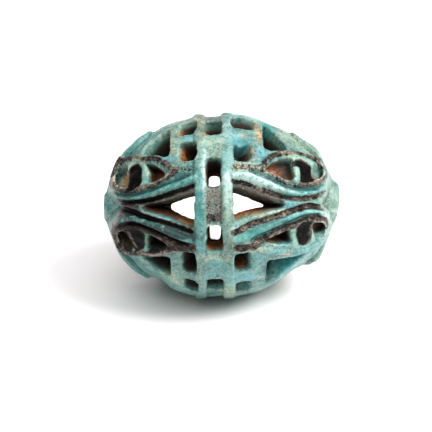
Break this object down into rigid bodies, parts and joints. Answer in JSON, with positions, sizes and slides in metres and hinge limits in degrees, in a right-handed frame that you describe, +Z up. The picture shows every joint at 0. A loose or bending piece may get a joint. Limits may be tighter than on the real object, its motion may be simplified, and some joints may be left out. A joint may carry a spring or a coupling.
{
  "type": "openwork faience bead",
  "caption": "Hollow barrel-shaped bead pierced with wedjat eyes, triangles and square lattice openings, with a string hole along its length.",
  "frame": {"origin": "middle of the bead's box, on the surface it lies on", "axes": "+X along the string hole, towards the longer half; the best-preserved face looks towards -Y and 30 degrees up; +Z up"},
  "size_m": [0.042, 0.0332, 0.0329],
  "materials": {
    "faience": "worn turquoise glaze with black paint and soil in the recesses"
  },
  "bodies": {
    "root": {"bead": "faience"}
  },
  "joints": []
}
